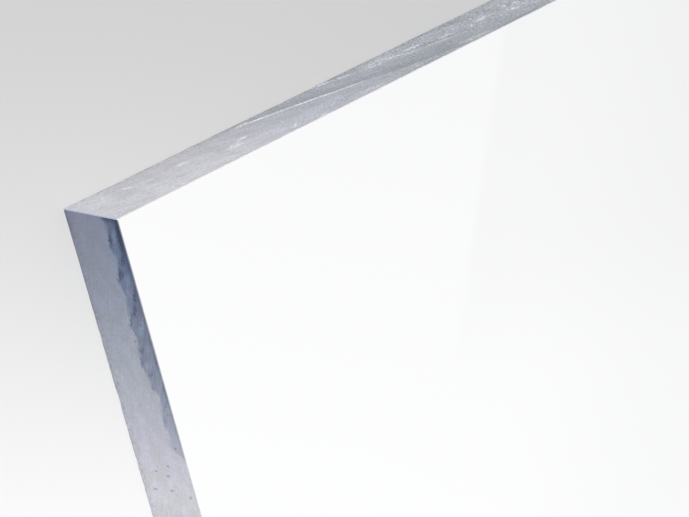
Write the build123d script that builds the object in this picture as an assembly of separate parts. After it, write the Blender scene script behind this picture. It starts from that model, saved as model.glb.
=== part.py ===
from build123d import *
import os

# Cut panel of acrylic mirror sheet, in millimetres.
# It lies on its painted back with the mirror face up.
# The origin is the centre of the back face, X runs along the length and Z out of the mirror.

# Stock and cut size
sheet_length = 305.0
sheet_width = 305.0
sheet_thickness = 6.0

# Narrow flats left where the sawn edges are scraped by hand
corner_arris = 0.06
mirror_arris = 0.05
back_arris = 0.08


def sawn_blank():
    """The sheet as it leaves the saw, with four square edges."""
    outline = Rectangle(sheet_length, sheet_width)
    return extrude(outline, amount=sheet_thickness)


def break_corners(panel):
    """Takes the sharpness off the four upright corners between neighbouring sawn edges."""
    upright = panel.edges().filter_by(Axis.Z)
    return chamfer(upright, length=corner_arris)


def scrape_rim(panel, face_end, arris):
    """Scrapes a narrow flat round the rim of the face at one end of the Z axis."""
    rim = panel.faces().sort_by(Axis.Z)[face_end].edges()
    return chamfer(rim, length=arris)


def mirror_sheet():
    """The finished panel: one solid, because the mirror coating and its paint have no thickness of note."""
    panel = break_corners(sawn_blank())
    panel = scrape_rim(panel, -1, mirror_arris)
    return scrape_rim(panel, 0, back_arris)


os.makedirs("parts", exist_ok=True)
export_step(mirror_sheet(), "parts/mirror_sheet.step")
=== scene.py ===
import math
import random

import bpy
from mathutils import Matrix, Vector, noise


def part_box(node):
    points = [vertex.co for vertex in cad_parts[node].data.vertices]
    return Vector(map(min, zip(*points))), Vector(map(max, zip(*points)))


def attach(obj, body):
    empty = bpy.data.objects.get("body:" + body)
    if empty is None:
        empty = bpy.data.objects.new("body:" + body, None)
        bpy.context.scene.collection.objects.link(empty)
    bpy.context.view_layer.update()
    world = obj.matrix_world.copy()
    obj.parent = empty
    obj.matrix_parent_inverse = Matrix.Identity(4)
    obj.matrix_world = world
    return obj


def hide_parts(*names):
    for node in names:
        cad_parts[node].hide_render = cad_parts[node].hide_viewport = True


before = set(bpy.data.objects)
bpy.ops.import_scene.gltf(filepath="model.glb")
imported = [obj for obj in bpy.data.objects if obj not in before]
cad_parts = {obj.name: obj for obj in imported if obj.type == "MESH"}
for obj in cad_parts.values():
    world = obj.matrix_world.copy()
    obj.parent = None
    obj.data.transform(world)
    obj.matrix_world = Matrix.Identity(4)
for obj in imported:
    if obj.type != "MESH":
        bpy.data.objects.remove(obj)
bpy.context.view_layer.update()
mm = 0.001
print("frame loaded:", sorted(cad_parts))

# the sheet, all sizes in mm; its mesh is worked out in mm and scaled to metres at the end
sheet = {
    "node": "mirror_sheet",
    "slot": "acrylic_mirror",
    "cornerFlat": 0.06,      # scraped off the four upright corners
    "mirrorArris": 0.05,     # flat between the mirror face and a sawn edge
    "backArris": 0.08,       # flat between the painted back and a sawn edge
    "fineStep": 0.16,        # columns of faces along an edge, near the corners
    "fineReach": 45.0,       # the fine columns go this far from a corner
    "coarseStep": 0.6,       # columns on the rest of the edge
    "rows": 17,              # rows of faces down a sawn edge
    "rowCrowding": 0.1,      # the rows crowd a little towards both arrises
    "mirrorCells": 60,       # cells across the mirror face
    "backCells": 30,
    "faceMargin": 4.0,       # from the rim to the first line of cells
    "faceWave": 0.02,        # the mirror face isn't dead flat, deepest point
    "faceWaveLength": 80.0,
    "calmCells": 3,          # cells from the rim over which the wave begins
    "sharpAngle": 30,        # degrees; softer edges are shaded smooth
}

# what the blade leaves on the edges, shared by the mesh and the material, in mm
sawMarks = {
    "wander": 0.030,         # slow waves along the cut, deepest point
    "wanderLength": 9.0,
    "wanderDown": 0.05,      # the waves hardly change down the edge
    "ripple": 0.006,         # fine unevenness
    "rippleAlong": 1.1,      # its turns for each mm
    "rippleDown": 1.7,
    "lapStep": 0.018,        # ridge where one lap of the blade meets the next
    "lapSlope": 0.313,       # a lap climbs this much for each mm along an end cut
    "sideSlope": 0.5,        # and the streaks of a side cut sink by this much
    "lapPitch": 2.8,         # from one lap to the next, measured down the edge
    "lapRise": 0.93,         # share of a lap over which its ridge rises
    "lapDrop": 0.07,         # and over which it drops
    "lapStart": 9.95,        # depth that the first lap would have at the corner
    "waver": {"height": 0.13, "turns": 0.44, "start": 2.69},   # the laps aren't quite straight
    "sideCalm": 0.4,         # share of the slow waves on the side cuts
    "calmCorner": 2.0,       # the relief fades out this near a corner
    "calmArris": 1.4,        # and partly this near the mirror face, which keeps a straight rim
    "calmShare": 0.2,        # share of the relief that stays at the rim
    "arrisWobble": 0.3,      # share by which the arrises vary in width
    "wobbleAlong": 0.9,
    "mirrorNicks": {"spacing": 14.0, "deepest": 0.04, "seed": 3},
    "backNicks": {"spacing": 4.5, "deepest": 0.09, "seed": 8},
    "nickReach": (0.2, 0.7),
    "nickMargin": 2.5,       # no nicks this near a corner
}

nodeLow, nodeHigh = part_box(sheet["node"])
halfLength = (nodeHigh.x - nodeLow.x) / 2 / mm
halfWidth = (nodeHigh.y - nodeLow.y) / 2 / mm
thickness = (nodeHigh.z - nodeLow.z) / mm

# the four cuts in the order in which they are walked, clockwise seen from above
# a run is counted from the corner where the blade came in, so the side cuts are walked against it
cuts = [
    {"start": (-halfLength, halfWidth), "way": (1, 0), "length": 2 * halfLength, "endCut": True},
    {"start": (halfLength, halfWidth), "way": (0, -1), "length": 2 * halfWidth, "endCut": False},
    {"start": (halfLength, -halfWidth), "way": (-1, 0), "length": 2 * halfLength, "endCut": True},
    {"start": (-halfLength, -halfWidth), "way": (0, 1), "length": 2 * halfWidth, "endCut": False},
]


def stationsAlong(length):
    # places of the columns, close together near both corners
    flat, reach = sheet["cornerFlat"], sheet["fineReach"]
    fineCount = round((reach - flat) / sheet["fineStep"])
    coarseCount = round((length - 2 * reach) / sheet["coarseStep"])
    near = [flat + (reach - flat) * i / fineCount for i in range(fineCount)]
    middle = [reach + (length - 2 * reach) * i / coarseCount for i in range(coarseCount + 1)]
    return near + middle + [length - place for place in reversed(near)]


def lapRidge(run, depth):
    # 1 just before one lap of the blade meets the next, 0 just after
    waver = sawMarks["waver"]
    wave = waver["height"] * math.sin(waver["turns"] * run + waver["start"])
    laps = (depth + sawMarks["lapSlope"] * run + wave - sawMarks["lapStart"]) / sawMarks["lapPitch"]
    phase = laps % 1
    return min(phase / sawMarks["lapRise"], (1 - phase) / sawMarks["lapDrop"]) if laps > 0 else 0.0


def upToOne(place):
    return 0.5 + 0.5 * noise.noise(Vector(place))


def sawnIn(run, depth, number):
    # how far the cut surface lies inside the nominal edge; each cut takes its own part of the noise
    wanderPlace = (run / sawMarks["wanderLength"], depth * sawMarks["wanderDown"], number * 7.3)
    ripplePlace = (run * sawMarks["rippleAlong"], depth * sawMarks["rippleDown"], number * 3.1 + 20)
    wander = upToOne(wanderPlace)
    ripple = upToOne(ripplePlace)
    if cuts[number]["endCut"]:
        wander += sawMarks["lapStep"] / sawMarks["wander"] * lapRidge(run, depth)
    else:
        wander *= sawMarks["sideCalm"]
    relief = sawMarks["wander"] * wander + sawMarks["ripple"] * ripple
    share = sawMarks["calmShare"]
    return relief * (share + (1 - share) * min(1.0, depth / sawMarks["calmArris"]))


def nicksAlong(length, kind, number):
    look, margin = sawMarks[kind], sawMarks["nickMargin"]
    dice = random.Random(look["seed"] * 10 + number)
    nicks = []
    for _ in range(round(length / look["spacing"])):
        centre = dice.uniform(margin, length - margin)
        reach = dice.uniform(*sawMarks["nickReach"])
        nicks.append((centre, reach, look["deepest"] * dice.random() ** 2))
    return nicks


def nickAt(run, nicks):
    bite = 0.0
    for centre, reach, deepest in nicks:
        away = abs(run - centre) / reach
        if away < 1:
            bite = max(bite, deepest * (1 - away * away))
    return bite


def edgeColumns():
    # one column of points for each station, from the mirror face's rim down to the back's
    columns, points = [], []
    mitre = math.tan(math.radians(22.5))   # the arrises meet on the corner flats at half of 45 degrees
    for number, cut in enumerate(cuts):
        outX, outY = -cut["way"][1], cut["way"][0]
        mirrorNicks = nicksAlong(cut["length"], "mirrorNicks", number)
        backNicks = nicksAlong(cut["length"], "backNicks", number)
        stations = stationsAlong(cut["length"])
        for place in stations:
            run = place if cut["endCut"] else cut["length"] - place
            toCorner = min(place, cut["length"] - place)
            calm = min(1.0, toCorner / sawMarks["calmCorner"]) ** 2
            swing = noise.noise(Vector((run * sawMarks["wobbleAlong"], number * 5.7, 1.5)))
            wobble = 1 + sawMarks["arrisWobble"] * calm * swing
            top = sheet["mirrorArris"] * wobble + nickAt(run, mirrorNicks)
            bottom = sheet["backArris"] * wobble + nickAt(run, backNicks)
            rows = [(0.0, top)]
            for i in range(sheet["rows"] + 1):
                share = i / sheet["rows"]
                share -= sheet["rowCrowding"] * math.sin(2 * math.pi * share)
                rows.append((top + (thickness - top - bottom) * share, 0.0))
            rows.append((thickness, bottom))
            column = {"cut": number, "place": place, "run": run, "first": len(points)}
            column["depths"] = [depth for depth, inset in rows]
            # the arrises are laid flat for the map
            column["heights"] = [-top] + column["depths"][1:-1] + [thickness + bottom]
            turnIn = {stations[0]: mitre, stations[-1]: -mitre}.get(place, 0.0)
            for depth, inset in rows:
                along = place + turnIn * inset
                inset += calm * sawnIn(run, depth, number)
                x = cut["start"][0] + cut["way"][0] * along - outX * inset
                y = cut["start"][1] + cut["way"][1] * along - outY * inset
                points.append((x, y, thickness - depth))
            columns.append(column)
    return columns, points


# where the faces lie on the map that colours can be baked to:
# the long edges are stacked in rows, and the two big faces lie side by side below them
bakeMap = {
    "rowsPerCut": 3,
    "bigFaces": 0.09,        # height of the two big faces' row
    "sideMargin": 0.01,
    "rowMargin": 0.06,
    "faceWidth": 0.48,
    "faceFoot": 0.004,
    "faceTrim": 0.012,
    "flatWidth": 1.4,        # a corner flat is this much wider than it is deep
}


def edgeOnMap(number, segment, place, height):
    rowHeight = (1 - bakeMap["bigFaces"]) / (bakeMap["rowsPerCut"] * len(cuts))
    across = place / cuts[number]["length"] * bakeMap["rowsPerCut"] - segment
    down = (height + sheet["backArris"]) / (thickness + 2 * sheet["backArris"])
    u = bakeMap["sideMargin"] + across * (1 - 2 * bakeMap["sideMargin"])
    row = number * bakeMap["rowsPerCut"] + segment
    inRow = bakeMap["rowMargin"] + down * (1 - 2 * bakeMap["rowMargin"])
    return u, bakeMap["bigFaces"] + rowHeight * (row + inRow)


def faceOnMap(x, y, half):
    u = half + bakeMap["sideMargin"] + bakeMap["faceWidth"] * (x + halfLength) / (2 * halfLength)
    height = bakeMap["bigFaces"] - bakeMap["faceTrim"]
    v = bakeMap["faceFoot"] + height * (y + halfWidth) / (2 * halfWidth)
    return u, v


finishes = {"mirrorFace": 0, "backPaint": 1, "sawnEdge": 2}
patternGap = 40.0   # keeps the patterns of the four cuts apart
# the flats are painted pale, partly as scraped acrylic and partly as a painted highlight along the
# arrises
scrapedShare = {"cornerFlat": 1.0, "endArris": 0.55, "sideArris": 0.25}   # how pale each flat is


def addFace(faces, corners, finish, cutPlaces, mapPlaces, endCut=0.0, scraped=0.0):
    faces["corners"].append(corners)
    faces["finish"].append(finishes[finish])
    faces["cutPlace"] += cutPlaces
    faces["onMap"] += mapPlaces
    faces["endCut"].append(endCut)
    faces["scraped"].append(scraped)


def addEdgeFaces(faces, columns):
    for left, right in zip(columns, columns[1:] + columns[:1]):
        number = right["cut"]
        cornerFlat = left["cut"] != number
        ends = [dict(left), right]
        if cornerFlat:   # a corner flat is mapped just before the cut that follows it
            ends[0]["place"] = right["place"] - bakeMap["flatWidth"] * sheet["cornerFlat"]
            ends[0]["run"] = right["run"]
        middle = max(0.0, (ends[0]["place"] + right["place"]) / 2)
        segment = int(middle / cuts[number]["length"] * bakeMap["rowsPerCut"])
        segment = min(segment, bakeMap["rowsPerCut"] - 1)
        for row in range(sheet["rows"] + 2):
            upperLeft, upperRight = left["first"] + row, right["first"] + row
            corners = [upperLeft, upperRight, upperRight + 1, upperLeft + 1]
            around = [(ends[0], row), (ends[1], row), (ends[1], row + 1), (ends[0], row + 1)]
            cutPlaces = [(end["run"], end["depths"][i], number * patternGap) for end, i in around]
            spots = [(end["place"], end["heights"][i]) for end, i in around]
            mapPlaces = [edgeOnMap(number, segment, place, height) for place, height in spots]
            isEndCut = float(cuts[number]["endCut"])
            scraped = 0.0
            if cornerFlat:
                scraped = scrapedShare["cornerFlat"]
            elif row == 0:   # the mirror face's arris
                scraped = scrapedShare["endArris" if cuts[number]["endCut"] else "sideArris"]
            addFace(faces, corners, "sawnEdge", cutPlaces, mapPlaces, isEndCut, scraped)


def addBigFace(faces, points, columns, finish, cells, upward):
    # cells inside, and between them and the fine rim one many-sided face per cell, all in one plane
    margin = sheet["faceMargin"]
    stepX = 2 * (halfLength - margin) / cells
    stepY = 2 * (halfWidth - margin) / cells
    grid = {}
    for i in range(cells + 1):
        for j in range(cells + 1):
            x, y = -halfLength + margin + i * stepX, -halfWidth + margin + j * stepY
            z = 0.0
            if upward:
                inward = min(i, j, cells - i, cells - j)
                wave = upToOne(Vector((x, y, 9.0)) / sheet["faceWaveLength"])
                z = thickness - sheet["faceWave"] * wave * min(1.0, inward / sheet["calmCells"])
            grid[i, j] = len(points)
            points.append((x, y, z))

    def addFlat(corners):
        if upward:
            corners = corners[::-1]
        places = [points[corner] for corner in corners]
        onMap = [faceOnMap(x, y, 0.5 if upward else 0.0) for x, y, z in places]
        addFace(faces, corners, finish, [(0.0, 0.0, 0.0)] * len(corners), onMap)

    for i in range(cells):
        for j in range(cells):
            addFlat([grid[i, j], grid[i, j + 1], grid[i + 1, j + 1], grid[i + 1, j]])

    rim = 0 if upward else sheet["rows"] + 2
    posts, gridPosts = [], []
    for number, cut in enumerate(cuts):
        step = stepX if cut["way"][0] else stepY
        mine = [i for i, column in enumerate(columns) if column["cut"] == number]
        for cell in range(cells + 1):
            along = margin + cell * step
            x = cut["start"][0] + cut["way"][0] * along + cut["way"][1] * margin
            y = cut["start"][1] + cut["way"][1] * along - cut["way"][0] * margin
            column = round((x + halfLength - margin) / stepX)
            posts.append(min(mine, key=lambda i: abs(columns[i]["place"] - along)))
            gridPosts.append(grid[column, round((y + halfWidth - margin) / stepY)])
    for k, (post, gridPost) in enumerate(zip(posts, gridPosts)):
        nextPost, nextGrid = posts[(k + 1) % len(posts)], gridPosts[(k + 1) % len(posts)]
        steps = (nextPost - post) % len(columns)
        rimCorners = [columns[(post + i) % len(columns)]["first"] + rim for i in range(steps + 1)]
        inner = [gridPost] if gridPost == nextGrid else [nextGrid, gridPost]
        addFlat(rimCorners + inner)


def newObject(name, data):
    made = bpy.data.objects.new(name, data)
    bpy.context.scene.collection.objects.link(made)
    return made


def buildSheet():
    columns, points = edgeColumns()
    faces = {name: [] for name in ("corners", "finish", "cutPlace", "onMap", "endCut", "scraped")}
    addEdgeFaces(faces, columns)
    addBigFace(faces, points, columns, "mirrorFace", sheet["mirrorCells"], True)
    addBigFace(faces, points, columns, "backPaint", sheet["backCells"], False)
    mesh = bpy.data.meshes.new("mirrorSheet")
    mesh.from_pydata([(x * mm, y * mm, z * mm) for x, y, z in points], [], faces["corners"])
    mesh.polygons.foreach_set("material_index", faces["finish"])
    cutPlace = mesh.attributes.new("cutPlace", "FLOAT_VECTOR", "CORNER")
    cutPlace.data.foreach_set("vector", [value for place in faces["cutPlace"] for value in place])
    mesh.attributes.new("endCut", "FLOAT", "FACE").data.foreach_set("value", faces["endCut"])
    mesh.attributes.new("scraped", "FLOAT", "FACE").data.foreach_set("value", faces["scraped"])
    onMap = mesh.uv_layers.new(name="OFBake")
    onMap.data.foreach_set("uv", [value for place in faces["onMap"] for value in place])
    mesh.shade_smooth()
    mesh.set_sharp_from_angle(angle=math.radians(sheet["sharpAngle"]))
    mesh.update()
    panel = newObject("mirror_sheet_panel", mesh)
    print("sheet:", len(mesh.vertices), "points,", len(mesh.polygons), "faces")
    return panel


def addNode(tree, kind, **settings):
    made = tree.nodes.new(kind)
    for name, value in settings.items():
        setattr(made, name, value)
    return made


def feed(tree, socket, value):
    # another node's output is linked, anything else is set
    if isinstance(value, bpy.types.NodeSocket):
        tree.links.new(value, socket)
    else:
        socket.default_value = value


def setInputs(made, values):
    for name, value in values.items():
        made.inputs[name].default_value = value


def calc(tree, operation, *values):
    made = addNode(tree, "ShaderNodeMath", operation=operation)
    for socket, value in zip(made.inputs, values):
        feed(tree, socket, value)
    return made.outputs[0]


def vectorCalc(tree, operation, *values):
    made = addNode(tree, "ShaderNodeVectorMath", operation=operation)
    for socket, value in zip(made.inputs, values):
        feed(tree, socket, value)
    return made.outputs


def times(tree, first, *others):
    for other in others:
        first = calc(tree, "MULTIPLY", first, other)
    return first


def plus(tree, first, *others):
    for other in others:
        first = calc(tree, "ADD", first, other)
    return first


def ease(tree, value, start, end, low=0.0, high=1.0):
    # low before start, high after end, smooth in between
    made = addNode(tree, "ShaderNodeMapRange", interpolation_type="SMOOTHSTEP")
    given = {"Value": value, "From Min": start, "From Max": end, "To Min": low, "To Max": high}
    for name in given:
        feed(tree, made.inputs[name], given[name])
    return made.outputs["Result"]


def mixed(tree, share, first, second, way="MIX"):
    made = addNode(tree, "ShaderNodeMix", data_type="RGBA", blend_type=way)
    for index, value in ((0, share), (6, first), (7, second)):
        feed(tree, made.inputs[index], value)
    return made.outputs[2]


def tinted(tree, share, colour, tint):
    return mixed(tree, share, colour, (*tint, 1.0), "MULTIPLY")


def scaled(tree, colour, factor):
    made = addNode(tree, "ShaderNodeVectorMath", operation="SCALE")
    feed(tree, made.inputs[0], colour)
    feed(tree, made.inputs["Scale"], factor)
    return made.outputs[0]


def gathered(tree, x, y, z):
    made = addNode(tree, "ShaderNodeCombineXYZ")
    for socket, value in zip(made.inputs, (x, y, z)):
        feed(tree, socket, value)
    return made.outputs[0]


def parted(tree, vector):
    made = addNode(tree, "ShaderNodeSeparateXYZ")
    feed(tree, made.inputs[0], vector)
    return made.outputs


def cloud(tree, place, perX, perY, detail=2.0, roughness=0.5):
    # noise with this many turns to each unit of the first two coordinates
    stretched = vectorCalc(tree, "MULTIPLY", place, (perX, perY, 1.0))
    made = addNode(tree, "ShaderNodeTexNoise")
    feed(tree, made.inputs["Vector"], stretched[0])
    setInputs(made, {"Scale": 1.0, "Detail": detail, "Roughness": roughness})
    return made.outputs[0]


def tone(red, green, blue):
    # a colour as it is seen on a screen, 0 to 255
    linear = []
    for value in (red / 255, green / 255, blue / 255):
        linear.append(value / 12.92 if value <= 0.04045 else ((value + 0.055) / 1.055) ** 2.4)
    return (*linear, 1.0)


def toneRamp(tree, value, stops):
    # stops are (place, colour), and the last place is the ramp's full reach
    reach = stops[-1][0]
    made = addNode(tree, "ShaderNodeValToRGB")
    feed(tree, made.inputs[0], calc(tree, "DIVIDE", value, reach))
    elements = made.color_ramp.elements
    while len(elements) < len(stops):
        elements.new(0.5)
    for element, (place, colour) in zip(elements, stops):
        element.position = place / reach
        element.color = tone(*colour)
    return made.outputs[0]


def handCurve(tree, value, points):
    # a curve drawn through given points; the last point is its full reach
    reach, tallest = points[-1][0], max(height for place, height in points)
    made = addNode(tree, "ShaderNodeFloatCurve")
    drawn = made.mapping.curves[0].points
    while len(drawn) < len(points):
        drawn.new(0.5, 0.5)
    for point, (place, height) in zip(drawn, points):
        point.location = (place / reach, height / tallest)
        point.handle_type = "VECTOR"
    made.mapping.update()
    feed(tree, made.inputs["Value"], calc(tree, "DIVIDE", value, reach))
    return times(tree, made.outputs[0], tallest)


def bumped(tree, shader, height, strength, depth):
    bump = addNode(tree, "ShaderNodeBump")
    setInputs(bump, {"Strength": strength, "Distance": depth})
    feed(tree, bump.inputs["Height"], height)
    feed(tree, shader.inputs["Normal"], bump.outputs[0])


def newMaterial(name):
    material = bpy.data.materials.new(name)
    material.use_nodes = True
    return material, material.node_tree, material.node_tree.nodes["Principled BSDF"]


# how sharply a noise is cut: from and to, out of its run from 0 to 1
gentle, firm, hard = (0.3, 0.7), (0.35, 0.65), (0.4, 0.6)

# places are mm along a cut from the corner where it starts, and depths are mm below the mirror face
edgeLook = {
    # painted shade: the side cuts are darkest at the starting corner and lighten along the cut
    "sideShadeTones": [
        (0, (120, 125, 144)), (6.25, (138, 144, 160)), (11.25, (157, 163, 174)),
        (16.25, (178, 179, 191)), (20, (193, 193, 200)), (36, (198, 199, 204)),
    ],
    # painted light: near the starting corner the end cuts are lit lighter than the side cuts
    "endLitTones": [
        (0, (196, 197, 203)), (9, (196, 196, 203)), (17.5, (180, 183, 192)),
        (26.5, (161, 165, 173)), (31, (157, 162, 170)), (40, (162, 166, 173)),
    ],
    "lightTone": (199, 200, 207),    # further along, a cut wanders between these two
    "darkTone": (160, 166, 177),
    # the dark band below the mirror face on side cuts is a painted reflection of dark surroundings seen
    # inside the clear acrylic
    "bandEdge": [                    # how deep the dark band below the mirror face reaches on side cuts
        (0, 1.75), (0.7, 1.4), (2.1, 1.75), (3.0, 1.4), (4.6, 1.85), (5.6, 1.5), (7.8, 1.95), (8.5, 1.6),
        (10.6, 2.0), (11.6, 1.5), (12.2, 1.5), (12.6, 0.85), (14.3, 1.35), (15.6, 1.05), (16.4, 1.25),
        (16.8, 0.6), (17.2, 0.0), (18, 0.0),
    ],
    "bandRagged": 0.8,               # mm by which that outline is shifted about
    "farBand": 1.1,                  # and how deep where it comes back further along
    "bandTint": (0.49, 0.53, 0.62),
    "deepTint": (0.16, 0.26, 0.44),  # darkest beside the corner
    "tealHue": (0.95, 1.02, 1.0, 1.0),     # the band is mottled with these two
    "purpleHue": (1.05, 0.97, 1.04, 1.0),
    "warmHue": (1.010, 1.0, 0.990, 1.0),   # and everything with these
    "coolHue": (0.994, 0.998, 1.015, 1.0),
    "rimTint": (0.74, 0.73, 0.77),   # thin line beside the arris
    "coolTint": (0.92, 1.02, 1.08),  # the mirror half is bluer beside the corner
    "scratch": (226, 228, 234),      # bright lines, scuffs and frost
    "wedge": (66, 72, 90),           # the shade behind a lap's line
    "warm": (0.93, 0.89, 0.83),      # uneven strip beside the mirror face on the end cuts
    "pit": (104, 112, 138),
    "strokeTint": (0.30, 0.38, 0.54),      # dark strokes in the band
    "paleTint": (1.24, 1.34, 1.29),        # and pale ones
    "bloom": (206, 207, 212),              # pale patches on the end cuts
    "endStrokes": 0.4,                     # strength of the dark strokes on the end cuts
    "pitted": 0.65,
    "markCore": 0.1,                 # a mark is full over this share of its size
    "torn": 0.35,                    # mm by which the outlines of strokes and blooms are torn
    "rimTurns": (0.805, 3.2),        # turns and start of the wave that picks the end cuts' dark rim
    "rimPick": (-0.3, 0.5),
    # tones of the flats: scraped acrylic with a painted highlight
    "cornerFlat": (164, 173, 187),
    "arris": (244, 245, 249),        # between the mirror face and the cuts
    "roughness": (0.36, 0.56),
    "ior": 1.49,
    "specular": 0.3,
    "bumpStrength": 0.6,
    "bumpDepth": 0.03 * mm,
    "relief": {"streaks": 0.5, "grain": 0.35, "scratches": 0.6},

    # the noises: turns to each mm along and down, then how finely detailed and how rough
    "clouds": {
        "streaks": (0.5, 3.6, 3.0, 0.6),
        "grain": (3.4, 3.8, 3.0, 0.6),
        "speckle": (5.0, 7.0, 1.0),
        "patches": (0.7, 0.8, 2.0),
        "mottle": (0.9, 1.6, 1.0),
        "wander": (1 / 34, 0.02, 1.0),
        "lineBreaks": (0.9, 0.5, 2.0),
        "lineScratches": (1.3, 9.0, 2.0),
        "flecks": (3.0, 6.0, 2.0, 0.6),
    },

    # where things fade: from one place or depth to another, and the shares at both
    "fades": {
        "toWandering": (38, 60),               # the listed tones give way to the wandering ones
        "bandComesBack": (32, 45),
        "bandAlong": (8, 17.5, 1.0, 0.5),
        "bandTorn": (0.0, 0.5, 0.0, 0.6),      # the deeper the band, the more its edge is torn
        "deepDown": (1.0, 0.2),
        "deepAlong": (8.0, 0.5, 0.0, 0.75),
        "paleAlong": (4, 16, 1.0, 0.5),
        "darkAlong": (2, 14, 0.95, 0.45),
        "rimDown": (0.36, 0.12),
        "rimAlong": (18, 13),
        "coolDown": (3.0, 1.2),
        "coolAlong": (8.5, 2.5),
        "linesDown": (1.7, 3.4),
        "linesAlong": (13.6, 15),
        "frostAlong": (22, 30),
        "litTopFrom": (0, 5),                 # painted light: near the corner an end cut is lighter at the top and darker towards the back
        "litTopTo": (26, 20),
        "litTopDown": (0.3, 5.3, 0.06, -0.12),
        "warmDown": (0.8, 0.1),
        "endRimDown": (0.45, 0.15),
        "endRimAlong": (41, 44),
        "coarseAlong": (5, 32, 0.15, 1.1),     # end cuts are coarser away from the corner
        # painted shade: the edges darken towards the back rim, with crumbly grain there
        "crumbsAndShadeDown": (thickness - 0.9, thickness - 0.2),
        "backShadeDown": (thickness - 0.25, thickness - 0.05, 0.0, -0.15),
        "arrisDown": (0.11, 0.04),
    },

    # how sharply the noises are cut: from and to, and the shares at both
    "noiseCuts": {
        "lightTone": (0.36, 0.64),
        "farBand": (0.46, 0.36),
        "bandSoft": (*firm, 0.40, 0.10),       # mm over which the band ends
        "bandStrokes": (0.34, 0.66, 0.65, 1.2),
        "thinRim": (0.35, 0.6, 0.4, 1.4),
        "lineBreaks": (0.3, 0.55, 0.35, 1.0),
        "lineScratches": (0.3, 0.6, 0.45, 1.0),
        "frostDust": (*firm, 0.02, 0.25),
        "frostFlecks": (0.57, 0.70, 0.0, 0.65),
        "frostPatches": (*firm, 0.7, 1.1),
        "bloom": (*gentle, 0.3, 0.8),
        "scuff": (0.34, 0.62, 0.15, 0.9),
        "warmStrip": (*hard, 0.0, 0.8),
        "speckle": (*hard, 0.5, 1.3),
    },

    # lines and frost of the laps; widths are in mm
    "laps": {
        "firstWidth": 0.28,      # the first line is the sharpest and the longest
        "laterWider": 0.12,
        "laterFainter": 0.4,
        "core": 0.03,
        "linePick": (1.9, 0.6),  # turns and start of the wave that picks the laps with a line
        "linePicked": (0.2, 0.4),
        "lineFrom": (-0.12, -0.06),
        "frostPick": (2.2, -1.57),
        "frostPicked": (0.0, 0.3),
        "shadeBehind": (0.7, 0.04, 0.0, 0.22),
        "shadeFrom": (-0.02, 0.0),
    },

    # strength of the streaks, grain and patches that go over everything
    "overall": {
        "streaks": 0.03,
        "endStreaks": 0.07,      # more of them on the end cuts
        "patches": 0.05,
        "grain": 0.06,
        "speckle": 0.20,
        "speckleShare": 0.3,
        # crumbly grain, on average darker, as painted shade near the back rim
        "crumbsAndShade": (-0.20, 0.04),
    },
}
clouds, fades, noiseCuts = edgeLook["clouds"], edgeLook["fades"], edgeLook["noiseCuts"]
lapLook, overall = edgeLook["laps"], edgeLook["overall"]

# single marks: number of the cut, place, depth, half of the length, half of the width, degrees turned
# about 60 marks are all that the renderer's shader stack can hold
scuffs = [
    (0, 3.95, 4.35, 0.9, 0.30, -45), (0, 5.8, 0.45, 0.4, 0.22, 0), (0, 8.2, 3.7, 0.8, 0.50, 0),
    (0, 12.9, 3.0, 0.9, 0.40, 20), (0, 11.8, 2.4, 1.0, 0.50, 0), (0, 15.9, 0.9, 0.8, 0.24, 45),
    (0, 15.0, 5.4, 0.8, 0.40, -10), (0, 17.9, 0.3, 0.9, 0.25, 10), (0, 20.4, 3.7, 1.1, 0.22, -17),
    (0, 28.2, 4.2, 1.4, 0.32, -16), (0, 29.9, 4.3, 1.4, 0.42, -10), (0, 32.6, 3.6, 1.0, 0.38, -14),
    (0, 34.6, 3.0, 0.7, 0.30, 0), (0, 36.1, 3.4, 1.0, 0.50, 10), (0, 38.4, 2.5, 0.6, 0.75, 45),
    (0, 38.6, 3.6, 0.8, 0.36, 45), (0, 39.4, 3.3, 0.8, 0.50, 45),
]
pits = [
    (3, 18.0, 2.3, 0.28, 0.12, 80), (3, 18.8, 2.6, 0.34, 0.16, 80), (3, 19.9, 2.6, 0.36, 0.13, 80),
    (3, 18.7, 3.9, 0.34, 0.11, 80), (3, 20.2, 4.6, 0.36, 0.13, 80), (3, 16.4, 0.8, 0.28, 0.14, 60),
    (3, 20.0, 0.6, 0.30, 0.18, 60), (3, 13.9, 0.5, 0.25, 0.10, 60), (3, 8.5, 0.95, 0.30, 0.14, 60),
    (3, 8.8, 1.9, 0.28, 0.13, 60), (3, 0.75, 5.75, 1.0, 0.30, 0),
]
darkStrokes = [
    (3, 1.3, 0.35, 2.2, 0.36, 5), (3, 0.1, 1.0, 1.4, 0.36, 85), (3, 1.7, 1.5, 0.9, 0.22, 25),
    (3, 3.0, 0.75, 0.9, 0.26, 35), (3, 4.1, 1.45, 1.1, 0.34, 40), (3, 5.5, 0.55, 1.2, 0.24, 25),
    (3, 6.6, 1.05, 0.9, 0.32, 45), (3, 7.5, 1.85, 0.8, 0.18, 32), (3, 9.4, 1.45, 0.6, 0.22, 50),
    (3, 10.3, 1.9, 0.8, 0.20, 22), (3, 11.1, 1.2, 0.5, 0.22, 50), (3, 12.0, 1.4, 0.5, 0.25, 30),
    (3, 14.6, 1.2, 0.8, 0.22, 25), (3, 9.9, 0.15, 0.8, 0.18, 5), (3, 12.3, 0.15, 1.0, 0.16, 0),
    (3, 13.2, 0.55, 0.9, 0.16, 35), (0, 28.6, 0.15, 2.2, 0.50, 0), (0, 37.6, 0.15, 2.8, 0.50, -4),
]
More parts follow.
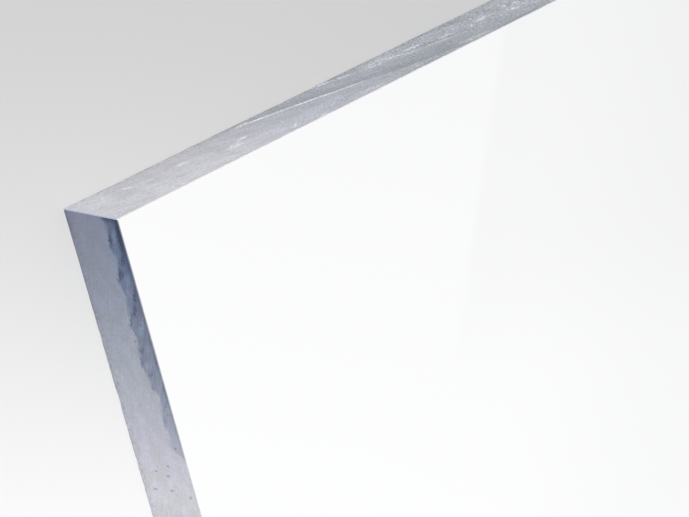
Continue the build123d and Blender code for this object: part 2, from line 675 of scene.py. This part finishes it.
paleStrokes = [
    (3, 1.2, 0.9, 1.0, 0.36, 25), (3, 4.2, 0.7, 0.9, 0.36, 35), (3, 5.4, 1.15, 0.9, 0.30, 25),
    (3, 6.5, 1.5, 0.8, 0.18, 38), (3, 7.8, 0.9, 1.2, 0.45, 45), (3, 9.2, 0.75, 0.7, 0.40, 50),
    (3, 10.5, 1.35, 0.6, 0.26, 60), (3, 2.8, 1.35, 0.5, 0.30, 60),
]
blooms = [
    (0, 32.6, 0.55, 2.8, 0.70, -6), (0, 22.5, 0.6, 2.4, 0.6, 0), (0, 1.9, 4.4, 1.6, 1.1, 0),
    (0, 27.0, 4.9, 2.6, 0.8, -10),
]


def edgePlaces(tree):
    # every pattern on an edge hangs on these
    at = {"place": addNode(tree, "ShaderNodeAttribute", attribute_name="cutPlace").outputs["Vector"]}
    at["isEnd"] = addNode(tree, "ShaderNodeAttribute", attribute_name="endCut").outputs["Fac"]
    at["run"], at["depth"], number = parted(tree, at["place"])
    # the blade leaned the other way on the side cuts
    bothSlopes = sawMarks["lapSlope"] + sawMarks["sideSlope"]
    slope = calc(tree, "MULTIPLY_ADD", at["isEnd"], bothSlopes, -sawMarks["sideSlope"])
    across = plus(tree, at["depth"], times(tree, at["run"], slope))
    at["streakPlace"] = gathered(tree, at["run"], across, number)
    waver = sawMarks["waver"]
    wave = calc(tree, "SINE", calc(tree, "MULTIPLY_ADD", at["run"], waver["turns"], waver["start"]))
    waved = calc(tree, "MULTIPLY_ADD", wave, waver["height"], across)
    fromFirst = calc(tree, "SUBTRACT", waved, sawMarks["lapStart"])
    at["laps"] = calc(tree, "DIVIDE", fromFirst, sawMarks["lapPitch"])
    at["streaks"] = cloud(tree, at["streakPlace"], *clouds["streaks"])
    at["grain"] = cloud(tree, at["place"], *clouds["grain"])
    at["speckle"] = cloud(tree, at["place"], *clouds["speckle"])
    at["patches"] = cloud(tree, at["place"], *clouds["patches"])
    at["mottle"] = cloud(tree, at["streakPlace"], *clouds["mottle"])
    at["wander"] = cloud(tree, at["place"], *clouds["wander"])
    # gives the listed strokes and blooms torn outlines
    torn = calc(tree, "MULTIPLY_ADD", at["grain"], 2 * edgeLook["torn"], -edgeLook["torn"])
    tornRun = plus(tree, at["run"], torn)
    at["tornPlace"] = gathered(tree, tornRun, calc(tree, "SUBTRACT", at["depth"], torn), number)
    return at


def farTone(tree, at):
    share = ease(tree, at["wander"], *noiseCuts["lightTone"])
    return mixed(tree, share, tone(*edgeLook["darkTone"]), tone(*edgeLook["lightTone"]))


def marksAt(tree, where, marks):
    # 1 inside a mark, 0 outside
    found = 0.0
    for number, place, depth, length, width, turned in marks:
        local = addNode(tree, "ShaderNodeMapping", vector_type="TEXTURE")
        feed(tree, local.inputs["Vector"], where)
        middle, turn = (place, depth, number * patternGap), (0, 0, math.radians(turned))
        setInputs(local, {"Location": middle, "Rotation": turn, "Scale": (length, width, 1)})
        away = vectorCalc(tree, "LENGTH", local.outputs[0])["Value"]
        inside = ease(tree, away, 1.0, edgeLook["markCore"])
        found = calc(tree, "MAXIMUM", inside, found)
    return found


def sideCutColour(tree, at, pitted):
    run, depth = at["run"], at["depth"]
    # painted shade near the starting corner, fading along the cut
    colour = toneRamp(tree, run, edgeLook["sideShadeTones"])
    colour = mixed(tree, ease(tree, run, *fades["toWandering"]), colour, farTone(tree, at))

    # the dark band, a painted reflection of dark surroundings seen inside the clear acrylic, strong near
    # the starting corner and coming back where the cut wanders
    ragged = calc(tree, "SUBTRACT", at["streaks"], 0.5)
    shifted = plus(tree, run, times(tree, ragged, edgeLook["bandRagged"]))
    near = handCurve(tree, shifted, edgeLook["bandEdge"])
    wandered = ease(tree, at["wander"], *noiseCuts["farBand"])
    far = times(tree, wandered, ease(tree, run, *fades["bandComesBack"]), edgeLook["farBand"])
    reach = calc(tree, "MAXIMUM", near, far)
    rough = times(tree, calc(tree, "SUBTRACT", at["grain"], 0.5), ease(tree, reach, *fades["bandTorn"]))
    below = calc(tree, "SUBTRACT", depth, plus(tree, reach, rough))
    soft = ease(tree, at["patches"], *noiseCuts["bandSoft"])
    inBand = ease(tree, below, soft, times(tree, soft, -1.0))
    strokes = ease(tree, at["streaks"], *noiseCuts["bandStrokes"])
    band = times(tree, inBand, ease(tree, run, *fades["bandAlong"]), strokes)
    colour = tinted(tree, band, colour, edgeLook["bandTint"])
    hue = mixed(tree, ease(tree, at["mottle"], *hard), edgeLook["tealHue"], edgeLook["purpleHue"])
    colour = mixed(tree, inBand, colour, mixed(tree, 1.0, colour, hue, "MULTIPLY"))

    # the painted band is darker still beside the corner, with dark and pale strokes all along
    beside = times(tree, ease(tree, depth, *fades["deepDown"]), ease(tree, run, *fades["deepAlong"]))
    colour = tinted(tree, times(tree, inBand, beside), colour, edgeLook["deepTint"])
    pale = marksAt(tree, at["tornPlace"], paleStrokes)
    pale = times(tree, pale, ease(tree, run, *fades["paleAlong"]))
    colour = tinted(tree, times(tree, inBand, pale), colour, edgeLook["paleTint"])
    dark = times(tree, at["dark"], ease(tree, run, *fades["darkAlong"]))
    colour = tinted(tree, dark, colour, edgeLook["strokeTint"])
    thin = times(tree, ease(tree, depth, *fades["rimDown"]), ease(tree, run, *fades["rimAlong"]))
    thin = times(tree, thin, ease(tree, at["grain"], *noiseCuts["thinRim"]))
    colour = tinted(tree, thin, colour, edgeLook["rimTint"])
    cool = times(tree, ease(tree, depth, *fades["coolDown"]), ease(tree, run, *fades["coolAlong"]))
    colour = tinted(tree, cool, colour, edgeLook["coolTint"])
    return mixed(tree, times(tree, pitted, edgeLook["pitted"]), colour, tone(*edgeLook["pit"]))


def scratchesAt(tree, at):
    # some laps start at a bright line
    nearest = calc(tree, "ROUND", at["laps"])
    toLine = calc(tree, "ABSOLUTE", calc(tree, "SUBTRACT", at["laps"], nearest))
    later = calc(tree, "MINIMUM", nearest, 1.0)   # 0 on the first line
    width = calc(tree, "MULTIPLY_ADD", later, lapLook["laterWider"], lapLook["firstWidth"])
    line = ease(tree, times(tree, toLine, sawMarks["lapPitch"]), width, lapLook["core"])
    picked = calc(tree, "SINE", calc(tree, "MULTIPLY_ADD", nearest, *lapLook["linePick"]))
    drawn = ease(tree, picked, *lapLook["linePicked"])
    breaks = cloud(tree, at["streakPlace"], *clouds["lineBreaks"])
    broken = ease(tree, breaks, *noiseCuts["lineBreaks"])
    fine = cloud(tree, at["streakPlace"], *clouds["lineScratches"])
    scratchy = ease(tree, fine, *noiseCuts["lineScratches"])
    fainter = calc(tree, "MULTIPLY_ADD", later, -lapLook["laterFainter"], 1.0)
    line = times(tree, line, drawn, broken, scratchy, fainter)
    fading = ease(tree, at["depth"], *fades["linesDown"])
    fading = times(tree, fading, ease(tree, at["run"], *fades["linesAlong"]))
    line = times(tree, line, fading, ease(tree, at["laps"], *lapLook["lineFrom"]))

    # and there is frost on some laps
    lap = calc(tree, "FLOOR", at["laps"])
    frosting = calc(tree, "SINE", calc(tree, "MULTIPLY_ADD", lap, *lapLook["frostPick"]))
    flecks = cloud(tree, at["streakPlace"], *clouds["flecks"])
    dust = ease(tree, flecks, *noiseCuts["frostDust"])
    frost = plus(tree, dust, ease(tree, flecks, *noiseCuts["frostFlecks"]))
    frost = times(tree, frost, ease(tree, frosting, *lapLook["frostPicked"]))
    frost = times(tree, frost, ease(tree, at["run"], *fades["frostAlong"]))
    frost = times(tree, frost, ease(tree, at["patches"], *noiseCuts["frostPatches"]))
    return times(tree, calc(tree, "MAXIMUM", line, frost), at["isEnd"])


def endCutColour(tree, at, scratches):
    run, depth = at["run"], at["depth"]
    # painted light: the end cut is lighter than the side cut near the corner
    colour = toneRamp(tree, run, edgeLook["endLitTones"])
    # painted light and shade near the corner: lighter at the top, darker towards the back
    fall = times(tree, ease(tree, run, *fades["litTopFrom"]), ease(tree, run, *fades["litTopTo"]))
    fall = times(tree, fall, ease(tree, depth, *fades["litTopDown"]))
    colour = scaled(tree, colour, plus(tree, fall, 1.0))
    colour = mixed(tree, ease(tree, run, *fades["toWandering"]), colour, farTone(tree, at))
    behind = ease(tree, calc(tree, "FRACT", at["laps"]), *lapLook["shadeBehind"])
    wedge = times(tree, behind, ease(tree, at["laps"], *lapLook["shadeFrom"]))
    colour = mixed(tree, wedge, colour, tone(*edgeLook["wedge"]))
    bloom = marksAt(tree, at["tornPlace"], blooms)
    bloom = times(tree, bloom, ease(tree, at["grain"], *noiseCuts["bloom"]))
    colour = mixed(tree, bloom, colour, tone(*edgeLook["bloom"]))
    dark = times(tree, at["dark"], edgeLook["endStrokes"])
    colour = tinted(tree, dark, colour, edgeLook["strokeTint"])
    scuffed = marksAt(tree, at["place"], scuffs)
    scuffed = times(tree, scuffed, ease(tree, at["grain"], *noiseCuts["scuff"]))
    bright = calc(tree, "MAXIMUM", scratches, scuffed)
    colour = mixed(tree, bright, colour, tone(*edgeLook["scratch"]))
    strip = ease(tree, depth, *fades["warmDown"])
    strip = times(tree, strip, ease(tree, at["patches"], *noiseCuts["warmStrip"]))
    colour = tinted(tree, strip, colour, edgeLook["warm"])
    # past the stretch of listed tones a thin dark rim comes and goes
    wave = calc(tree, "SINE", calc(tree, "MULTIPLY_ADD", run, *edgeLook["rimTurns"]))
    rim = ease(tree, depth, *fades["endRimDown"])
    rim = times(tree, rim, ease(tree, wave, *edgeLook["rimPick"]))
    rim = times(tree, rim, ease(tree, run, *fades["endRimAlong"]))
    return tinted(tree, rim, colour, edgeLook["rimTint"])


def sawnEdgeMaterial():
    material, tree, shader = newMaterial("sawnEdge")
    at = edgePlaces(tree)
    at["dark"] = marksAt(tree, at["tornPlace"], darkStrokes)
    pitted = marksAt(tree, at["place"], pits)
    scratches = scratchesAt(tree, at)
    onSides = sideCutColour(tree, at, pitted)
    colour = mixed(tree, at["isEnd"], onSides, endCutColour(tree, at, scratches))

    # cloudy hues, streaks and grain over everything, coarser beside the back, where painted shade also
    # darkens the back rim
    hue = mixed(tree, ease(tree, at["patches"], *firm), edgeLook["warmHue"], edgeLook["coolHue"])
    colour = mixed(tree, 1.0, colour, hue, "MULTIPLY")
    crumbsAndShade = ease(tree, at["grain"], *firm, *overall["crumbsAndShade"])
    crumbsAndShade = times(tree, crumbsAndShade, ease(tree, at["depth"], *fades["crumbsAndShadeDown"]))
    streaky = calc(tree, "MULTIPLY_ADD", at["isEnd"], overall["endStreaks"], overall["streaks"])
    streaked = times(tree, ease(tree, at["streaks"], *gentle, -1.0, 1.0), streaky)
    coarse = times(tree, at["isEnd"], ease(tree, at["run"], *fades["coarseAlong"]))
    speckled = ease(tree, at["speckle"], *gentle, -overall["speckle"], overall["speckle"])
    speckled = times(tree, speckled, plus(tree, coarse, overall["speckleShare"]))
    shade = plus(
        tree, 1.0, crumbsAndShade, streaked,
        ease(tree, at["patches"], *gentle, -overall["patches"], overall["patches"]),
        ease(tree, at["grain"], *gentle, -overall["grain"], overall["grain"]),
        times(tree, speckled, ease(tree, at["mottle"], *noiseCuts["speckle"])),
        # painted shade along the back rim
        ease(tree, at["depth"], *fades["backShadeDown"]),
    )
    colour = scaled(tree, colour, shade)
    # the flats get a pale tone that is partly scraped acrylic and partly a painted highlight
    scraped = addNode(tree, "ShaderNodeAttribute", attribute_name="scraped").outputs["Fac"]
    onArris = ease(tree, at["depth"], *fades["arrisDown"])
    flat = mixed(tree, onArris, tone(*edgeLook["cornerFlat"]), tone(*edgeLook["arris"]))
    colour = mixed(tree, scraped, colour, flat)
    feed(tree, shader.inputs["Base Color"], colour)
    feed(tree, shader.inputs["Roughness"], ease(tree, at["grain"], *gentle, *edgeLook["roughness"]))
    setInputs(shader, {"IOR": edgeLook["ior"], "Specular IOR Level": edgeLook["specular"]})

    relief = edgeLook["relief"]
    height = times(tree, at["streaks"], relief["streaks"])
    height = plus(tree, height, times(tree, at["grain"], relief["grain"]))
    height = plus(tree, height, times(tree, scratches, relief["scratches"]))
    bumped(tree, shader, height, edgeLook["bumpStrength"], edgeLook["bumpDepth"])
    return material


mirrorLook = {
    "Base Color": (0.972, 0.975, 0.980, 1.0),
    "Metallic": 1.0,
    "Roughness": 0.015,
    "Coat Weight": 1.0,      # the clear acrylic over the silver
    "Coat Roughness": 0.01,
    "Coat IOR": 1.49,
}


def mirrorFaceMaterial():
    material, tree, shader = newMaterial("mirrorFace")
    setInputs(shader, mirrorLook)
    return material


backLook = {
    "tone": (128, 131, 136),
    "mottle": 0.06,
    "mottlePerMetre": 14.0,
    "mottleDetail": 3.0,
    "orangePeel": 0.04 * mm,
    "peelPerMm": 0.9,
    "peelStrength": 0.4,
    "roughness": (0.44, 0.56),
}


def backPaintMaterial():
    # sprayed grey paint that guards the silver
    material, tree, shader = newMaterial("backPaint")
    place = addNode(tree, "ShaderNodeTexCoord").outputs["Object"]
    peelTurns, driftTurns = backLook["peelPerMm"] / mm, backLook["mottlePerMetre"]
    peel = cloud(tree, place, peelTurns, peelTurns)
    drift = cloud(tree, place, driftTurns, driftTurns, backLook["mottleDetail"])
    light = ease(tree, drift, *gentle, 1 - backLook["mottle"], 1 + backLook["mottle"])
    feed(tree, shader.inputs["Base Color"], scaled(tree, tone(*backLook["tone"])[:3], light))
    feed(tree, shader.inputs["Roughness"], ease(tree, drift, *gentle, *backLook["roughness"]))
    bumped(tree, shader, peel, backLook["peelStrength"], backLook["orangePeel"])
    return material


panel = buildSheet()
makers = {"mirrorFace": mirrorFaceMaterial, "backPaint": backPaintMaterial, "sawnEdge": sawnEdgeMaterial}
for name in sorted(finishes, key=finishes.get):
    panel.data.materials.append(makers[name]())
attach(panel, "root")
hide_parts(sheet["node"])
print("materials:", [material.name for material in panel.data.materials])

# floor: near white paper with a painted pool of light and a painted soft shade beside the sheet's
# corner; lengths in metres
floorLook = {
    "size": 9.0,
    "plain": (238, 238, 238),
    "light": (255, 255, 255),
    "shade": (210, 210, 210),
    "shadeWay": (0.35, 0.94),        # the way the floor darkens beside the corner
    "shadeMiddle": 0.0837,           # the middle of the change, that way from the sheet's centre
    "shadeSoft": 0.023,              # half of its width beside the corner
    "spread": 0.9,                   # and how fast it widens further off
    "localNear": 0.045,              # the shade is full this near the corner, and gone this far from it
    "localFar": 0.30,
    "localPower": 3.0,
    "roughness": 0.9,
    "specular": 0.1,
    "shown": 0.7,                    # share of the plain tone that is seen, the rest is lit and shadowed
}


def seenDirectly(tree):
    # 1 for what the camera sees, also in metal or through glass
    path = addNode(tree, "ShaderNodeLightPath")
    seen = calc(tree, "MAXIMUM", path.outputs["Is Camera Ray"], path.outputs["Is Glossy Ray"])
    return calc(tree, "MAXIMUM", seen, path.outputs["Is Transmission Ray"])


def buildFloor():
    half = floorLook["size"] / 2
    mesh = bpy.data.meshes.new("floor")
    corners = [(-half, -half, 0), (half, -half, 0), (half, half, 0), (-half, half, 0)]
    mesh.from_pydata(corners, [], [(0, 1, 2, 3)])
    floor = newObject("floor", mesh)
    material, tree, shader = newMaterial("floorPaper")
    spot = addNode(tree, "ShaderNodeTexCoord").outputs["Object"]
    x, y, z = parted(tree, spot)
    wayX, wayY = floorLook["shadeWay"]
    along = plus(tree, times(tree, x, wayX), times(tree, y, wayY))
    corner = (-halfLength * mm, halfWidth * mm, 0)
    away = vectorCalc(tree, "DISTANCE", spot, corner)["Value"]
    beyond = calc(tree, "MAXIMUM", calc(tree, "SUBTRACT", away, floorLook["localNear"]), 0.0)
    soft = calc(tree, "MULTIPLY_ADD", beyond, floorLook["spread"], floorLook["shadeSoft"])
    fromMiddle = calc(tree, "SUBTRACT", along, floorLook["shadeMiddle"])
    fall = ease(tree, fromMiddle, times(tree, soft, -1.0), soft)
    # painted light on one side and painted shade on the other, full near the corner and fading to the
    # plain tone further off
    colour = mixed(tree, fall, tone(*floorLook["light"]), tone(*floorLook["shade"]))
    local = ease(tree, away, floorLook["localFar"], floorLook["localNear"])
    local = calc(tree, "POWER", local, floorLook["localPower"])
    colour = mixed(tree, local, tone(*floorLook["plain"]), colour)
    feed(tree, shader.inputs["Base Color"], colour)
    setInputs(shader, {"Roughness": floorLook["roughness"], "Specular IOR Level": floorLook["specular"]})
    shown = addNode(tree, "ShaderNodeEmission")
    feed(tree, shown.inputs["Color"], colour)
    both = addNode(tree, "ShaderNodeMixShader")
    feed(tree, both.inputs[0], times(tree, seenDirectly(tree), floorLook["shown"]))
    feed(tree, both.inputs[1], shader.outputs[0])
    feed(tree, both.inputs[2], shown.outputs[0])
    feed(tree, tree.nodes["Material Output"].inputs["Surface"], both.outputs[0])
    mesh.materials.append(material)


# studio: plain light on everything, and a shaped dome that only the mirror shows
studio = {
    "fill": 0.62,
    "backdrop": 0.85,
    "domeLevel": 0.73,           # brightness of the dome straight across
    "domeTowardsY": -0.313,      # it is lighter on the near side
    "domeUp": 0.204,
    "domeRange": (0.6, 1.04),    # never darker or lighter than this
    "panelEdge": (0.6331, -0.3395, -0.6956),   # beyond this plane the dome is a shade darker
    "panelStep": 0.028,
    "stepOver": (-0.001, 0.002),
    "stepLost": (-0.412, -0.35),               # the step is lost towards the near side
    "panelFall": 0.03,
    "fallOver": (0.02, 0.09),
    "lowDome": 0.50,             # below the dome stand tall soft lamps against a grey wall
    "lowBelow": (0.60, 0.48),    # heights are those on a ball with a radius of 1
    "lampCount": 18,
    "lampLean": 0.9,             # radians of turn for the dome's height
    "lampEdge": (0.30, 0.22),    # out of 0.5, half of the way to the next lamp
    "lampFoot": (0.05, 0.10),
    "lampLevel": 0.96,
    "ceiling": 0.66,             # overhead a round lamp hangs in a darker field
    "ceilingAbove": (0.87, 0.95),
    "discEdge": (0.9905, 0.9935),
    "discLevel": 1.0,
    "keyFrom": (-0.62, 0.72, 0.62),
    "keyDistance": 1.3,
    "keySize": 0.7,
    "keyPower": 9.0,
}


def domeBrightness(tree):
    way = addNode(tree, "ShaderNodeTexCoord").outputs["Generated"]
    x, y, z = parted(tree, way)
    dome = calc(tree, "MULTIPLY_ADD", y, studio["domeTowardsY"], studio["domeLevel"])
    dome = calc(tree, "MULTIPLY_ADD", z, studio["domeUp"], dome)
    beyond = vectorCalc(tree, "DOT_PRODUCT", way, studio["panelEdge"])["Value"]
    step = ease(tree, beyond, *studio["stepOver"], 0.0, studio["panelStep"])
    step = times(tree, step, ease(tree, y, *studio["stepLost"]))
    fall = ease(tree, beyond, *studio["fallOver"], 0.0, studio["panelFall"])
    dome = calc(tree, "SUBTRACT", dome, plus(tree, step, fall))
    darkest, lightest = studio["domeRange"]
    dome = calc(tree, "MINIMUM", calc(tree, "MAXIMUM", dome, darkest), lightest)

    # lamps stand all round below about 35 degrees
    leaning = calc(tree, "MULTIPLY_ADD", z, studio["lampLean"], calc(tree, "ARCTAN2", y, x))
    turn = calc(tree, "DIVIDE", leaning, 2 * math.pi / studio["lampCount"])
    phase = calc(tree, "FRACT", plus(tree, turn, 100.0))   # 100 turns on, so that none is below 0
    fromLamp = calc(tree, "ABSOLUTE", calc(tree, "SUBTRACT", phase, 0.5))
    lamp = times(tree, ease(tree, fromLamp, *studio["lampEdge"]), ease(tree, z, *studio["lampFoot"]))
    low = calc(tree, "MULTIPLY_ADD", lamp, studio["lampLevel"] - studio["lowDome"], studio["lowDome"])
    isLow = ease(tree, z, *studio["lowBelow"])
    level = plus(tree, times(tree, low, isLow), times(tree, dome, calc(tree, "SUBTRACT", 1.0, isLow)))

    # and one hangs overhead
    disc = ease(tree, z, *studio["discEdge"])
    ceiling = studio["ceiling"]
    overhead = calc(tree, "MULTIPLY_ADD", disc, studio["discLevel"] - ceiling, ceiling)
    isHigh = ease(tree, z, *studio["ceilingAbove"])
    level = times(tree, level, calc(tree, "SUBTRACT", 1.0, isHigh))
    return plus(tree, times(tree, overhead, isHigh), level)


def buildWorld():
    world = bpy.data.worlds.new("studio")
    bpy.context.scene.world = world
    world.use_nodes = True
    tree = world.node_tree
    path = addNode(tree, "ShaderNodeLightPath")
    shownTo = (("Is Glossy Ray", domeBrightness(tree)), ("Is Camera Ray", studio["backdrop"]))
    strength = studio["fill"]
    for ray, level in shownTo:
        choice = addNode(tree, "ShaderNodeMix", data_type="FLOAT")
        for index, value in ((0, path.outputs[ray]), (2, strength), (3, level)):
            feed(tree, choice.inputs[index], value)
        strength = choice.outputs[0]
    background = tree.nodes["Background"]
    background.inputs["Color"].default_value = (1, 1, 1, 1)
    feed(tree, background.inputs["Strength"], strength)


def buildKeyLight():
    lamp = bpy.data.lights.new("key", "AREA")
    lamp.size = studio["keySize"]
    lamp.energy = studio["keyPower"]
    key = newObject("key", lamp)
    key.visible_glossy = False   # the mirror doesn't show it
    away = Vector(studio["keyFrom"]).normalized()
    key.location = away * studio["keyDistance"]
    key.rotation_mode = "QUATERNION"
    key.rotation_quaternion = away.to_track_quat("Z", "Y")


# the camera stands close over one corner, turned so that the sheet's length rises to the upper right
photo = {
    "width": 689,
    "sensor": 36.0,
    "focalPixels": 2548.0,
    "aimFromCorner": (16.473, -9.868),     # mm on the mirror face, from the corner at -X, +Y
    "distance": 171.90,
    "azimuth": -121.652,
    "elevation": 48.664,
    "roll": 100.766,
    "clipStart": 0.01,
}


def buildCamera():
    data = bpy.data.cameras.new("camera")
    data.sensor_width = photo["sensor"]
    data.lens = photo["focalPixels"] * photo["sensor"] / photo["width"]
    data.clip_start = photo["clipStart"]
    camera = newObject("camera", data)
    azimuth, elevation = math.radians(photo["azimuth"]), math.radians(photo["elevation"])
    backX = math.sin(azimuth) * math.cos(elevation)
    backY = -math.cos(azimuth) * math.cos(elevation)
    back = Vector((backX, backY, math.sin(elevation)))
    aimX, aimY = photo["aimFromCorner"]
    aim = Vector((-halfLength + aimX, halfWidth + aimY, thickness))
    roll = Matrix.Rotation(math.radians(photo["roll"]), 3, "Z")
    turn = back.to_track_quat("Z", "Y").to_matrix() @ roll
    camera.matrix_world = Matrix.Translation((aim + back * photo["distance"]) * mm) @ turn.to_4x4()
    bpy.context.scene.camera = camera


buildFloor()
buildWorld()
buildKeyLight()
buildCamera()
bpy.context.scene.view_settings.view_transform = "Standard"
print("studio, floor and camera set")
